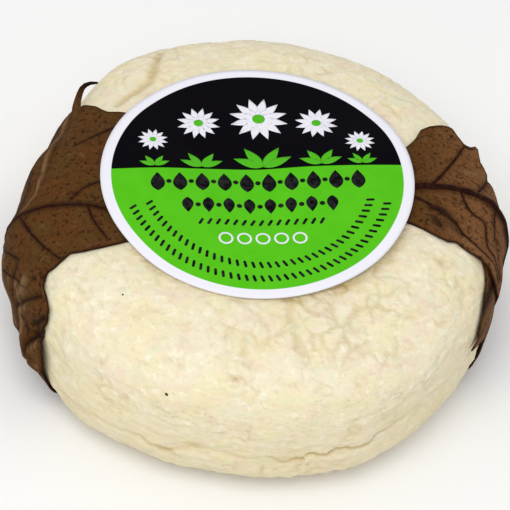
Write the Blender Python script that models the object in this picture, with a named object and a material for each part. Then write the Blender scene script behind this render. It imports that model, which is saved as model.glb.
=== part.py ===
"""Soft goat cheese wrapped in one dried leaf, under a round paper label.

The cheese is a low drum with rounded shoulders and a flat foot. The leaf starts
under the label on the right, runs down the right side, crosses under the cheese
in a shallow channel, comes up the left side and ends under the label on the left.
Units are metres, +Z is up and -Y is the front.
"""
import math

import bmesh
import bpy
import numpy as np
from mathutils import Vector, noise

MM = 0.001

# Cheese: a drum whose section is a superellipse, cut flat at the foot
CHEESE_RADIUS = 43.3 * MM
CHEESE_TOP = 32.7 * MM
FOOT_CUT = 2.4 * MM
HALF_HEIGHT = (CHEESE_TOP + FOOT_CUT) / 2
MIDDLE_HEIGHT = CHEESE_TOP - HALF_HEIGHT
SHOULDER_POWER = 4.4
FOOT_POWER = 3.6
CHEESE_COLUMNS = 92
CHEESE_RINGS = 36

# Where the round outline swells or is pressed in: azimuth, spread and depth
SWELLS = (
    (-60.0, 21.0, 1.3 * MM),
    (-122.0, 22.0, 1.3 * MM),
    (80.0, 50.0, 1.9 * MM),
    (127.0, 15.0, 1.6 * MM),
    (162.0, 20.0, -3.4 * MM),
)

# Rind relief, flat where leaf and label press on it and next to the foot
COARSE_LUMP_SIZE = 13.0 * MM
COARSE_LUMP_HEIGHT = 0.55 * MM
FINE_LUMP_SIZE = 5.0 * MM
FINE_LUMP_HEIGHT = 0.35 * MM
PRESSED_MARGIN = 1.0 * MM
PRESSED_FADE = 3.0 * MM
BARE_FROM_HEIGHT = 0.2 * MM
BARE_FULL_HEIGHT = 2.5 * MM
# The crease above the foot: azimuth, height in mm and share of its full depth
CREASE_PATH = (
    (-180.0, 11.5, 0.3),
    (-135.0, 10.5, 0.3),
    (-112.0, 11.0, 0.6),
    (-99.0, 12.6, 0.6),
    (-88.0, 11.7, 0.8),
    (-78.0, 11.2, 1.0),
    (-66.0, 12.6, 1.0),
    (-57.0, 12.2, 1.0),
    (-48.0, 15.0, 0.7),
    (-38.0, 16.5, 0.3),
    (20.0, 12.0, 0.3),
    (180.0, 11.5, 0.3),
)
CREASE_WIDTH = 1.5 * MM
CREASE_DEPTH = 0.8 * MM

# Leaf: a thin sheet that follows the cheese section, base end on the right
LEAF_THICKNESS = 0.45 * MM
GAP = 0.3 * MM
FLOOR_GAP = 0.3 * MM
CHANNEL_DEPTH = GAP + LEAF_THICKNESS + FLOOR_GAP
CHANNEL_MARGIN = 2.0 * MM
CHANNEL_FADE = 2.0 * MM
CHANNEL_FROM_HEIGHT = 5.0 * MM
CHANNEL_FULL_HEIGHT = 1.2 * MM
TOOTH_PITCH = 8.4 * MM
TOOTH_LENGTH = 1.8 * MM
ROWS_PER_TOOTH = 4
LEAF_HALF_COLUMNS = 6
LEAF_TIP_FADE = 10.0 * MM
VEIN_SLANT = 0.62
PLEAT_HEIGHT = 0.35 * MM
MIDRIB_HEIGHT = 0.45 * MM
MIDRIB_WIDTH = 2.2 * MM
# Section angle in degrees, then the front edge, midrib and back edge in mm
LEAF_STATIONS = (
    (46.0, -1.0, 3.0, 9.0),
    (32.0, -4.4, 4.3, 17.5),
    (27.0, -5.7, 5.0, 21.0),
    (22.0, -7.6, 6.0, 22.0),
    (15.0, -14.0, 6.3, 17.5),
    (4.0, -19.5, 3.0, 16.0),
    (-17.0, -13.5, -2.5, 15.0),
    (-38.0, -18.0, -6.5, 13.5),
    (-90.0, -22.5, -6.0, 12.5),
    (-142.0, -23.0, -6.5, 14.0),
    (-163.0, -26.5, -6.0, 18.0),
    (-180.0, -28.5, -5.5, 20.0),
    (-197.0, -25.0, -8.3, 18.5),
    (-205.0, -20.3, -8.0, 16.5),
    (-212.0, -17.0, -9.2, 15.0),
    (-234.0, -9.5, -7.0, -4.0),
)
# Where the leaf stands off the cheese: section angle, place across, spread
# along and across in degrees and mm, and height
LIFTS = (
    (9.0, -18.0, 10.0, 6.0, 1.2 * MM),
    (12.0, 0.0, 8.0, 8.0, 0.6 * MM),
    (-181.0, -9.0, 7.0, 10.0, 0.9 * MM),
    (-168.0, -23.0, 10.0, 8.0, 0.9 * MM),
    (-203.5, 23.5, 5.0, 3.5, 2.4 * MM),
)
# Section angles between which the leaf is free to stand off, right and left:
# from hidden to free, then from free to hidden
FREE_RIGHT = (34.0, 29.0, -4.0, -20.0)
FREE_LEFT = (-160.0, -176.0, -209.0, -214.0)
# The long curled tooth on the left shoulder
HOOK_ANGLE = -202.6
HOOK_SPREAD = 2.4
HOOK_LENGTH = 5.6 * MM

# Label
LABEL_RADIUS = 27.5 * MM
LABEL_CENTRE = (-0.7 * MM, 1.75 * MM)
LABEL_THICKNESS = 0.25 * MM
LABEL_RINGS = 7
LABEL_COLUMNS = 52
LABEL_MARGIN = 3.0 * MM
# The label rises on to the leaf over the bridge, and is up at the leaf's reach
LEAF_REACH = 9.0 * MM
LABEL_BRIDGE = 10.0 * MM
LABEL_CLEARANCE = 1.5 * MM
# The stiff label leans: its right side stands off the cheese
LABEL_LEAN = 1.2 * MM
LEAN_FROM = -5.0 * MM
LEAN_TO = 32.0 * MM


def clear_scene():
    """Remove every object of the open file."""
    for thing in list(bpy.data.objects):
        bpy.data.objects.remove(thing, do_unlink=True)


def smooth_step(low, high, value):
    """Rise smoothly from 0 at low to 1 at high."""
    share = np.clip((value - low) / (high - low), 0.0, 1.0)
    return share * share * (3.0 - 2.0 * share)


def bell(offset, spread):
    """One at no offset, falling smoothly to nothing."""
    return np.exp(-(offset / spread) ** 2)


def angle_between(first, second):
    """Difference of two angles in degrees, from -180 to 180."""
    return (first - second + 180.0) % 360.0 - 180.0


def smooth_through(places, values, at):
    """Read a curve through the given points, with the slope of its neighbours."""
    places = np.asarray(places)
    values = np.asarray(values)
    slopes = np.gradient(values, places)
    index = np.clip(np.searchsorted(places, at) - 1, 0, len(places) - 2)
    width = places[index + 1] - places[index]
    share = np.clip((at - places[index]) / width, 0.0, 1.0)
    rise = share * share * (3.0 - 2.0 * share)
    start_pull = share * (1.0 - share) ** 2 * width * slopes[index]
    end_pull = share * share * (share - 1.0) * width * slopes[index + 1]
    return values[index] * (1.0 - rise) + values[index + 1] * rise + start_pull + end_pull


def outline_radius(azimuth):
    """Radius of the cheese at an azimuth in degrees."""
    radius = np.full_like(azimuth, CHEESE_RADIUS)
    for centre, spread, depth in SWELLS:
        radius = radius + depth * bell(angle_between(azimuth, centre), spread)
    return radius


def skin_level(points):
    """One on the smooth cheese body, less inside and more outside."""
    azimuth = np.degrees(np.arctan2(points[:, 1], points[:, 0]))
    reach = np.hypot(points[:, 0], points[:, 1]) / outline_radius(azimuth)
    height = (points[:, 2] - MIDDLE_HEIGHT) / HALF_HEIGHT
    power = np.where(height > 0.0, SHOULDER_POWER, FOOT_POWER)
    body = reach ** power + np.abs(height) ** power
    foot = 1.0 - points[:, 2] / HALF_HEIGHT
    return np.maximum(body, foot)


def skin_normals(points):
    """Outward unit normals of the smooth body, from small steps each way."""
    step = 0.05 * MM
    slopes = np.empty_like(points)
    for axis in range(3):
        shift = np.zeros(3)
        shift[axis] = step
        slopes[:, axis] = skin_level(points + shift) - skin_level(points - shift)
    return slopes / np.linalg.norm(slopes, axis=1, keepdims=True)


def onto_skin(starts, directions):
    """Follow each direction from inside the cheese out to its smooth surface."""
    near = np.zeros(len(starts))
    far = np.full(len(starts), 2.0 * CHEESE_RADIUS)
    for _ in range(40):
        middle = (near + far) / 2
        inside = skin_level(starts + directions * middle[:, None]) < 1.0
        near = np.where(inside, middle, near)
        far = np.where(inside, far, middle)
    return starts + directions * far[:, None]


def section_rays(angles, across):
    """Rays in planes across the leaf, from the line through the cheese's middle."""
    turn = np.radians(angles)
    starts = np.zeros((len(angles), 3))
    starts[:, 1] = across
    starts[:, 2] = MIDDLE_HEIGHT
    directions = np.stack([np.cos(turn), np.zeros(len(angles)), np.sin(turn)], axis=1)
    return starts, directions


def section_lengths(first, last):
    """Fine section angles, and the distance along the skin at each of them."""
    angles = np.linspace(first, last, 1200)
    points = onto_skin(*section_rays(angles, np.zeros(len(angles))))
    steps = np.linalg.norm(np.diff(points, axis=0), axis=1)
    return angles, np.concatenate([[0.0], np.cumsum(steps)])


LEAF_START = LEAF_STATIONS[0][0]
LEAF_END = LEAF_STATIONS[-1][0]
SECTION_ANGLES, SECTION_DISTANCES = section_lengths(LEAF_START, LEAF_END)
LEAF_LENGTH = SECTION_DISTANCES[-1]


def leaf_distance(angles):
    """Distance from the leaf's base end at each section angle."""
    return np.interp(-angles, -SECTION_ANGLES, SECTION_DISTANCES)


def leaf_angle(distance):
    """Section angle in degrees at each distance from the leaf's base end."""
    return np.interp(distance, SECTION_DISTANCES, SECTION_ANGLES)


def leaf_lines(distance):
    """Places across, in metres, of the front edge, the midrib and the back edge."""
    stations = np.array(LEAF_STATIONS)
    places = leaf_distance(stations[:, 0])
    return [smooth_through(places, stations[:, line] * MM, distance) for line in (1, 2, 3)]


def points_to_section(points):
    """Section angle of each point, counted down from the leaf's base end."""
    angles = np.degrees(np.arctan2(points[:, 2] - MIDDLE_HEIGHT, points[:, 0]))
    return np.where(angles > 90.0, angles - 360.0, angles)


def leaf_cover(points, margin, fade):
    """One where the leaf lies on the cheese, fading to zero past its edges."""
    front, _, back = leaf_lines(leaf_distance(points_to_section(points)))
    inside = np.minimum(points[:, 1] - front, back - points[:, 1])
    return smooth_step(-margin - fade, -margin, inside)


def rind_lumps(points):
    """Uneven heights of the bare rind."""
    heights = []
    for point in points:
        coarse = noise.noise(Vector(point) / COARSE_LUMP_SIZE)
        fine = noise.noise(Vector(point) / FINE_LUMP_SIZE)
        heights.append(coarse * COARSE_LUMP_HEIGHT + fine * FINE_LUMP_HEIGHT)
    return np.array(heights)


def foot_crease(points):
    """The crease that runs round the cheese above its foot and leaves a lip below."""
    azimuth = np.degrees(np.arctan2(points[:, 1], points[:, 0]))
    path = np.array(CREASE_PATH)
    height = smooth_through(path[:, 0], path[:, 1] * MM, azimuth)
    share = smooth_through(path[:, 0], path[:, 2], azimuth)
    return -CREASE_DEPTH * share * bell(points[:, 2] - height, CREASE_WIDTH)


def label_cover(points):
    """One under the label, fading to zero past its rim."""
    from_centre = np.hypot(points[:, 0] - LABEL_CENTRE[0], points[:, 1] - LABEL_CENTRE[1])
    on_top = smooth_step(MIDDLE_HEIGHT, CHEESE_TOP - LABEL_MARGIN, points[:, 2])
    return on_top * smooth_step(-LABEL_MARGIN, 0.0, LABEL_RADIUS - from_centre)


def relief(points):
    """Height of the rind over the smooth body, with the leaf's channel underneath."""
    uncovered = 1.0 - leaf_cover(points, PRESSED_MARGIN, PRESSED_FADE)
    unlabelled = 1.0 - label_cover(points)
    above_foot = smooth_step(BARE_FROM_HEIGHT, BARE_FULL_HEIGHT, points[:, 2])
    rind = (rind_lumps(points) + foot_crease(points)) * uncovered * unlabelled * above_foot
    near_foot = smooth_step(-CHANNEL_FROM_HEIGHT, -CHANNEL_FULL_HEIGHT, -points[:, 2])
    channel = leaf_cover(points, CHANNEL_MARGIN, CHANNEL_FADE) * near_foot
    return rind - CHANNEL_DEPTH * channel


def lay_on_cheese(base, lift):
    """Raise points of the smooth body by the rind's relief and a lift."""
    return base + skin_normals(base) * (relief(base) + lift)[:, None]


def new_object(name, mesh_data, parent, finish):
    """Turn bmesh data into a named, smooth object with its own material."""
    mesh = bpy.data.meshes.new(name)
    bmesh.ops.recalc_face_normals(mesh_data, faces=mesh_data.faces)
    mesh_data.to_mesh(mesh)
    mesh_data.free()
    mesh.shade_smooth()
    mesh.materials.append(finish)
    thing = bpy.data.objects.new(name, mesh)
    thing.parent = parent
    bpy.context.scene.collection.objects.link(thing)
    return thing


def move_vertices(mesh_data, places):
    """Move each vertex to its place."""
    for vertex, place in zip(mesh_data.verts, places):
        vertex.co = Vector(place)


def vertex_array(mesh_data):
    """Vertex places as rows of numbers."""
    return np.array([vertex.co[:] for vertex in mesh_data.verts], dtype=float)


def principled(name, colour, roughness):
    """A non-metallic material with one colour."""
    finish = bpy.data.materials.new(name)
    finish.use_nodes = True
    shader = finish.node_tree.nodes["Principled BSDF"]
    shader.inputs["Base Color"].default_value = (*colour, 1.0)
    shader.inputs["Roughness"].default_value = roughness
    shader.inputs["Metallic"].default_value = 0.0
    return finish


def turned(profile, columns):
    """Turn a line of points once about the Z axis."""
    mesh_data = bmesh.new()
    line = [mesh_data.verts.new(Vector(point)) for point in profile]
    edges = [mesh_data.edges.new(pair) for pair in zip(line, line[1:])]
    bmesh.ops.spin(
        mesh_data,
        geom=line + edges,
        cent=(0.0, 0.0, 0.0),
        axis=(0.0, 0.0, 1.0),
        angle=math.tau,
        steps=columns,
        use_merge=True,
    )
    bmesh.ops.remove_doubles(mesh_data, verts=mesh_data.verts, dist=0.001 * MM)
    return mesh_data


def cheese_profile():
    """Points of the half section, evenly spaced from the top to the foot."""
    angles, distances = section_lengths(90.0, -90.0)
    wanted = np.linspace(0.0, distances[-1], CHEESE_RINGS + 1)
    chosen = np.interp(wanted, distances, angles)
    profile = onto_skin(*section_rays(chosen, np.zeros(len(chosen))))
    profile[[0, -1], 0] = 0.0
    return profile


def build_cheese(root):
    """The drum of cheese, turned and then given its uneven rind."""
    mesh_data = turned(cheese_profile(), CHEESE_COLUMNS)
    middle = np.array([0.0, 0.0, MIDDLE_HEIGHT])
    rays = vertex_array(mesh_data) - middle
    rays = rays / np.linalg.norm(rays, axis=1, keepdims=True)
    base = onto_skin(np.tile(middle, (len(rays), 1)), rays)
    places = lay_on_cheese(base, np.zeros(len(base)))
    places[:, 2] = np.maximum(places[:, 2], 0.0)
    move_vertices(mesh_data, places)
    return new_object("cheese", mesh_data, root, principled("rind", (0.80, 0.72, 0.55), 0.6))


def free_side(distance):
    """One where the leaf shows, zero under the label and under the cheese."""
    turned_down = -leaf_angle(distance)
    total = np.zeros(len(distance))
    for hidden, free, still_free, hidden_again in (FREE_RIGHT, FREE_LEFT):
        appears = smooth_step(-hidden, -free, turned_down)
        vanishes = smooth_step(-still_free, -hidden_again, turned_down)
        total += appears * (1.0 - vanishes)
    return total


def teeth(distance):
    """Saw teeth of the leaf edge, each pointing to the leaf's tip."""
    share = (distance / TOOTH_PITCH) % 1.0
    return TOOTH_LENGTH * (smooth_step(0.0, 0.8, share) - smooth_step(0.8, 1.0, share) - 0.5)


def leaf_places(distance, side):
    """Place across the cheese of each leaf point, side going from -1 to 1."""
    front, midrib, back = leaf_lines(distance)
    toothed = teeth(distance) * smooth_step(0.0, LEAF_TIP_FADE, LEAF_LENGTH - distance)
    hook = HOOK_LENGTH * bell(leaf_angle(distance) - HOOK_ANGLE, HOOK_SPREAD)
    half = np.where(side < 0.0, front - toothed - midrib, back + toothed + hook - midrib)
    return midrib + np.abs(side) * half, midrib


def leaf_stand_off(distance, across, midrib, side):
    """How far the leaf stands off the cheese: pleats, midrib and loose edges."""
    from_midrib = np.abs(across - midrib)
    phase = (distance - VEIN_SLANT * from_midrib) / TOOTH_PITCH * math.tau
    pleats = PLEAT_HEIGHT * (1.0 + np.cos(phase)) * np.abs(side)
    ridge = MIDRIB_HEIGHT * bell(from_midrib, MIDRIB_WIDTH)
    loose = np.zeros(len(distance))
    for angle, place, spread_along, spread_across, height in LIFTS:
        near_angle = bell(leaf_angle(distance) - angle, spread_along)
        near_place = bell(across / MM - place, spread_across)
        loose += height * near_angle * near_place
    return (pleats + ridge + loose) * free_side(distance)


def build_leaf(root):
    """The leaf: a grid laid round the cheese, split into triangles, then thickened."""
    rows = round(LEAF_LENGTH / TOOTH_PITCH * ROWS_PER_TOOTH)
    mesh_data = bmesh.new()
    bmesh.ops.create_grid(
        mesh_data, x_segments=rows, y_segments=2 * LEAF_HALF_COLUMNS, size=1.0)
    grid = vertex_array(mesh_data)
    distance = (grid[:, 0] + 1.0) / 2 * LEAF_LENGTH
    side = grid[:, 1]
    across, midrib = leaf_places(distance, side)
    base = onto_skin(*section_rays(leaf_angle(distance), across))
    lift = GAP + leaf_stand_off(distance, across, midrib, side)
    move_vertices(mesh_data, lay_on_cheese(base, lift))
    bmesh.ops.triangulate(mesh_data, faces=mesh_data.faces)
    leaf = new_object("leaf", mesh_data, root, principled("dried_leaf", (0.13, 0.075, 0.04), 0.6))
    thicken(leaf, LEAF_THICKNESS)
    return leaf


def thicken(sheet, thickness):
    """Give a sheet its thickness on the side away from the cheese."""
    middle = Vector((0.0, 0.0, MIDDLE_HEIGHT))
    face = sheet.data.polygons[0]
    outward = face.normal.dot(face.center - middle) > 0.0
    solid = sheet.modifiers.new("thickness", "SOLIDIFY")
    solid.thickness = thickness
    solid.offset = 1.0 if outward else -1.0
    solid.use_even_offset = True


def label_lift(points):
    """Height of the label over the smooth body: low on cheese, higher on the leaf."""
    front, _, back = leaf_lines(leaf_distance(points_to_section(points)))
    inside = np.minimum(points[:, 1] - front, back - points[:, 1])
    beside = smooth_step(-LABEL_BRIDGE, -LABEL_CLEARANCE, inside)
    reach = smooth_step(LEAF_REACH - LABEL_BRIDGE, LEAF_REACH, np.abs(points[:, 0]))
    lean = LABEL_LEAN * smooth_step(LEAN_FROM, LEAN_TO, points[:, 0])
    return GAP + beside * reach * (LEAF_THICKNESS + GAP) + lean


def build_label(root):
    """The round paper label, bent over the cheese and both ends of the leaf."""
    spokes = np.linspace(0.0, LABEL_RADIUS, LABEL_RINGS + 1)
    mesh_data = turned([(reach, 0.0, 0.0) for reach in spokes], LABEL_COLUMNS)
    flat = vertex_array(mesh_data)
    starts = flat + np.array([*LABEL_CENTRE, MIDDLE_HEIGHT])
    upward = np.tile([0.0, 0.0, 1.0], (len(starts), 1))
    base = onto_skin(starts, upward)
    move_vertices(mesh_data, base + skin_normals(base) * label_lift(base)[:, None])
    bmesh.ops.triangulate(mesh_data, faces=mesh_data.faces)
    label = new_object("label", mesh_data, root, principled("label_paper", (0.05, 0.42, 0.05), 0.35))
    thicken(label, LABEL_THICKNESS)
    return label


def centre_on_origin(root, things):
    """Move the root so that the object's box is centred over the origin, on z = 0."""
    graph = bpy.context.evaluated_depsgraph_get()
    corners = []
    for thing in things:
        shown = thing.evaluated_get(graph)
        corners += [shown.matrix_world @ Vector(corner) for corner in shown.bound_box]
    places = np.array(corners)
    low = places.min(axis=0)
    high = places.max(axis=0)
    root.location = (-(low[0] + high[0]) / 2, -(low[1] + high[1]) / 2, -low[2])


def main():
    """Build the three pieces and stand them on the origin."""
    clear_scene()
    root = bpy.data.objects.new("goat_cheese", None)
    bpy.context.scene.collection.objects.link(root)
    pieces = [build_cheese(root), build_leaf(root), build_label(root)]
    centre_on_origin(root, pieces)


main()
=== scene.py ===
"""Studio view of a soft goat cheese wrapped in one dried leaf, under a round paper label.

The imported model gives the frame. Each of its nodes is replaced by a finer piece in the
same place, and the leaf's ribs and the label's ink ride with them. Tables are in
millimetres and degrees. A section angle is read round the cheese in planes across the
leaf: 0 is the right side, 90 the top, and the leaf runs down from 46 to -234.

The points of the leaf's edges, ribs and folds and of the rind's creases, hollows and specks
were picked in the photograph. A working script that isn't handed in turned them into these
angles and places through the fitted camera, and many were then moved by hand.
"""

import math

import bpy
import numpy as np
from bpy.props import FloatProperty, FloatVectorProperty, PointerProperty
from mathutils import Matrix, Vector, noise
from mathutils.bvhtree import BVHTree


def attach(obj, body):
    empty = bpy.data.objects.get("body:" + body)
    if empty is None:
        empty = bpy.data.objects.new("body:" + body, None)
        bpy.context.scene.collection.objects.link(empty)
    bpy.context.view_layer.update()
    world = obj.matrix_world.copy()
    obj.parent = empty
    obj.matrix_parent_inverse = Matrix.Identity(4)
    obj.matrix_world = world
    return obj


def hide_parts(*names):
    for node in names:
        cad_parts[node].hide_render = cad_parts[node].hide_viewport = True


bl_info = {
    "name": "Goat Cheese With Leaf",
    "version": (1, 0, 0),
    "blender": (4, 5, 0),
    "location": "3D View > Sidebar > Goat Cheese",
    "description": "Dresses a goat cheese: rind, dried leaf, ribs, paper label, ink and studio",
    "category": "Object",
}

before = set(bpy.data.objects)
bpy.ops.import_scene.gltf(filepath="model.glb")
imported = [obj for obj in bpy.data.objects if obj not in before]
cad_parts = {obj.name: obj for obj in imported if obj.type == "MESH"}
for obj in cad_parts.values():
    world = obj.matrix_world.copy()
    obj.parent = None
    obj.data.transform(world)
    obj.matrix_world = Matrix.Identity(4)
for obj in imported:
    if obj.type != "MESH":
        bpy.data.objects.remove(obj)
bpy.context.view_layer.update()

MM = 0.001
MERGE_DISTANCE = 1e-6
GUIDE_ROUNDING = 2
EVEN = (1.0, 1.0, 1.0)

# Middle of the cheese's section in the row frame
CENTRE = np.array([-0.249, -0.729, 15.15])

# Smooth body of the cheese, the start of the rind's rings
BODY_RADIUS = 43.3
BODY_HALF_HEIGHT = 17.55
SHOULDER_POWER = 4.4
FOOT_POWER = 3.6
RIND_COLUMNS = 560
RIND_RINGS = 164
# Distance from the top centre over the section, and the ring that lies there
HIDDEN_TOP = (23.5, 12)
FOOT_RING = 146
SECTION_STEPS = 6000
# Heights between which painted shade makes the rind darker and warmer towards its foot
FOOT_SHADE_HEIGHTS = (31.0, 8.0)
# Azimuths about which the fine net and the painted shadow beside the label's rim lie
NET_AZIMUTH = -58.0
LABEL_SHADOW_AZIMUTH = -42.0

# The crease above the foot: azimuth, height and strength
CREASE_PATH = (
    (-180, 11.5, 0.2), (-135, 10.5, 0.2), (-112, 11.4, 0.35), (-106, 10, 0.7),
    (-103, 10.5, 0.5), (-99, 12.8, 0.25), (-93, 12.8, 0.15), (-88, 11.7, 0.25),
    (-82, 12.4, 0.35), (-78, 11.1, 0.7), (-73.5, 11.2, 0.9), (-72.5, 12.7, 1), (-70.7, 12.8, 1),
    (-68.2, 11.8, 1), (-66, 13.1, 1), (-62.4, 12.4, 0.9), (-58.5, 11.9, 0.9), (-56, 13.6, 0.8),
    (-52, 14.4, 0.6), (-48, 15.2, 0.4), (-40, 16.5, 0.2), (20, 12, 0.2), (180, 11.5, 0.2),
)
# The deep crease behind the left end of the leaf, as points in the row frame
BACK_CREASE = (
    (-21.4, 33.6, 29.6), (-21.9, 28.7, 30.9), (-22.3, 24.1, 31.5), (-23.9, 21.8, 31.5),
    (-25.8, 19.9, 31.3), (-27.4, 17.7, 31.2),
)

# Small hollows, sunk and given painted shade: azimuth, height, half length, half height and
# strength
HOLLOWS = (
    (-90.8, 28.4, 1.3, 0.5, 0.55), (-92.5, 17.9, 0.8, 0.35, 0.5), (-104.7, 10.4, 1.3, 0.5, 0.8),
    (-98.4, 13.2, 1.6, 0.9, 0.6), (-89.4, 30.6, 0.7, 0.5, 0.45), (-74.9, 31.2, 0.7, 0.5, 0.6),
    (-74.9, 32, 0.9, 0.4, 0.5), (-62.4, 20.6, 2, 0.4, 0.25), (-88.5, 9.1, 0.35, 1.6, 0.5),
    (-82.4, 8.4, 0.35, 1.6, 0.6), (-18.5, 31, 0.5, 0.5, 0.5),
)
# Dark specks on the rind: place and radius
SPECKS = ((-12.0, -42.5, 24.4, 0.42), (-21.3, -27.6, 31.3, 0.3))

# Leaf outline: section angle and place across, right end first
FRONT_EDGE = (
    (46, -2), (34.1, -4.7), (32, -5), (30.1, -5.6), (28, -6.6), (25.7, -7.3), (24.1, -6.8),
    (22.2, -7.6), (19.5, -8.2), (17.7, -8.8), (15.2, -9.6), (12.5, -9.9), (10.5, -9.8),
    (8.5, -9.4), (7, -8.6), (3, -9.5), (0, -11.5), (-4, -12.8), (-8, -13.4), (-11, -13),
    (-14, -12.2), (-18, -11.5), (-26, -12.5), (-38, -15), (-90, -23.2), (-142, -23.7),
    (-150, -25), (-160, -27.5), (-166, -29.3), (-175, -29.9), (-180.9, -29.8), (-184.7, -29.3),
    (-186.1, -28.7), (-190.1, -28.7), (-193.7, -29), (-196.1, -28.5), (-197.6, -27.9),
    (-198.1, -26.5), (-198.5, -24.8), (-199.5, -23.6), (-200.9, -22.1), (-203, -21.4),
    (-204.9, -20.4), (-206.5, -19.3), (-209.5, -19), (-212.5, -18.3), (-215.7, -17.4),
    (-218.3, -16.6), (-234, -10.2),
)
MIDRIB = (
    (46, 2.3), (33.6, 3.4), (30.5, 4.3), (27.3, 5), (24, 5.7), (20.1, 5.9), (16.6, 5.5),
    (11, 4.3), (6, 2.9), (2, 1.7), (-4, 0), (-17, -3.2), (-38, -7.2), (-90, -6.7), (-142, -7.2),
    (-163, -6.9), (-180, -6.8), (-188, -7.5), (-196.2, -8.6), (-200.2, -8.8), (-203.5, -8.8),
    (-207.1, -8.8), (-210.1, -9.1), (-213.9, -9.8), (-218, -10), (-234, -8),
)
BACK_EDGE = (
    (46, 8.3), (40, 9.8), (35.6, 12.2), (34, 13.6), (32, 16), (30.8, 18.2), (29.4, 18.5),
    (28, 18.5), (26.8, 18.5), (25.5, 18.4), (24, 17.2), (22.9, 16.5), (21.6, 16.3), (20.4, 17),
    (19.9, 16.8), (19.5, 15.9), (18.7, 14.9), (17.7, 14.5), (16.9, 14.1), (16.2, 13.7),
    (15.7, 12.9), (15, 12.4), (14, 12.6), (11, 14), (-17, 14.3), (-38, 12.8), (-90, 11.8),
    (-142, 13.3), (-163, 17.3), (-180, 19.3), (-193, 19), (-199, 18.6), (-201.8, 18.5),
    (-203.9, 17.4), (-205.8, 16.6), (-209.2, 14.7), (-211.7, 14.6), (-214.5, 14.3),
    (-234, -4.7),
)
# Front edge of the lower fold at the right end, under the blade's own free edge
LOWER_EDGE = (
    (19, -7), (17, -9), (16, -10.2), (15, -11.2), (14.6, -12.4), (14, -13.6), (12.6, -14.8),
    (10.6, -15.9), (8.6, -16.9), (4.8, -17.2), (4.1, -18.2), (3.3, -19.2), (2.7, -18.2),
    (1.2, -15.6), (0, -13.6), (-4, -12.6), (-6, -11),
)
LOWER_BACK = -5.0
LOWER_ROWS = 60
LOWER_COLUMNS = 28
LOWER_CLEARANCE = 0.2

# Section angles between which the hidden front and back edges carry regular teeth
TOOTHED_FRONT = (10.0, 4.0, -158.0, -166.0)
TOOTHED_BACK = (10.0, 4.0, -186.0, -193.0)
# Teeth and grid of the blade, and its gap to the cheese
TOOTH_PITCH = 8.4
TOOTH_LENGTH = 1.8
LEAF_CELL = 0.5
LEAF_HALF_COLUMNS = 50
LEAF_CLEARANCE = 0.3
MEASURE_STEPS = 1500

# Folds of the leaf: height, width, strength of painted highlight with wear, darkness of painted
# shade, and points by angle and place
LEAF_FOLDS = (
    (0.22, 0.22, 0.75, 0, ((-198, 17.5), (-198.4, 13.5), (-199.4, 9.6), (-199.8, 5.3),
        (-199.9, 0.6), (-199.2, -5), (-196.6, -7.4))),
    (0.1, 0.8, 0, 0.6, ((-195.6, 17), (-195.8, 10), (-196.4, 4), (-196.6, -2), (-194, -7))),
    (0.3, 1.1, 0, 0.9, ((17.5, 5.3), (14, 4.5), (10, 3.4), (6, 2.2), (2, 0.9))),
    (-0.15, 0.4, 0, 0.35, ((-199.5, 16), (-200.6, 10), (-201.1, 4), (-200.9, -2))),
    (-0.6, 0.42, 0, 1, ((-198.3, -25.5), (-194, -24.2), (-189.5, -22.7), (-183, -20.4))),
    (-0.4, 0.36, 0, 1, ((-200, -22.6), (-196.2, -21.5))),
    (-1.1, 0.6, 0, 1, ((-187, -28.2), (-182, -26.6), (-177, -26.4), (-171, -27))),
    (-1.1, 0.7, 0, 1, ((-194.5, -28), (-191, -27.2), (-188.6, -26.6))),
    (-0.9, 0.6, 0, 1, ((-189.6, -28.6), (-185.4, -27.2))),
    (0.4, 0.7, 0.5, 0, ((-194, -20.6), (-186, -22.4), (-178, -24.4))),
    (-0.3, 0.5, 0, 0.6, ((-193, -17), (-184, -20.2), (-172, -23))),
    (0.3, 0.6, 0.4, 0, ((-190, -13.5), (-180, -17.6), (-169, -20.6))),
    (-0.3, 0.5, 0, 0.6, ((-186, -11), (-178, -15), (-166, -18))),
    (-0.5, 0.8, 0, 0.85, ((29, -0.3), (27.8, 0), (26.6, -0.3), (25.8, -1.2))),
    (-0.3, 1, 0, 0.8, ((28.2, -2.6), (27.4, -3.8))),
    (-0.25, 0.6, 0, 0.55, ((26.4, -2.6), (25.2, -3.8), (23.4, -4.8))),
    (0.2, 0.4, 0.2, 0, ((26, -3.4), (22.6, -5.6), (19, -7.3), (15, -8.5))),
    (0.2, 0.5, 0.35, 0, ((22.4, 10.6), (19.4, 12), (17.4, 12.4))),
    (-0.3, 0.4, 0, 0.7, ((15.6, 13.2), (17.2, 11), (19, 8.8))),
    (-0.25, 0.4, 0, 0.6, ((15.6, -1), (14.6, -3), (13.6, -5), (11, -7.4))),
)
# Where the leaf stands off: angle, place, spread in degrees and in mm, and height
LEAF_LIFTS = (
    (12, 0, 8, 8, 0.5), (-200, 4, 6, 5, 1), (-191, -14, 6, 5, 0.6), (-180, -27, 6, 3, 1.5),
    (5, 10, 9, 6, 0.7), (-190, 15, 9, 5, 0.6), (-190, -3.5, 8, 3, -0.5), (-186, -12, 6, 9, 0.9),
    (-186, -14.5, 7, 4, 0.5), (-182, -20, 8, 3, 0.5), (-175, -26.5, 5, 2.6, 1.5),
    (-192, -26, 5, 3, 0.6),
)
# Section angles between which each end of the leaf stands off, as outer and inner limits
FREE_RIGHT = (34.0, 29.0, -4.0, -20.0)
FREE_LEFT = (-160.0, -176.0, -209.0, -214.0)

# How far the back lobes of the right end, and its front over the lower fold, stand off
LOBE_LIFT = 2.5
FLAP_LIFT = 0.6

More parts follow.
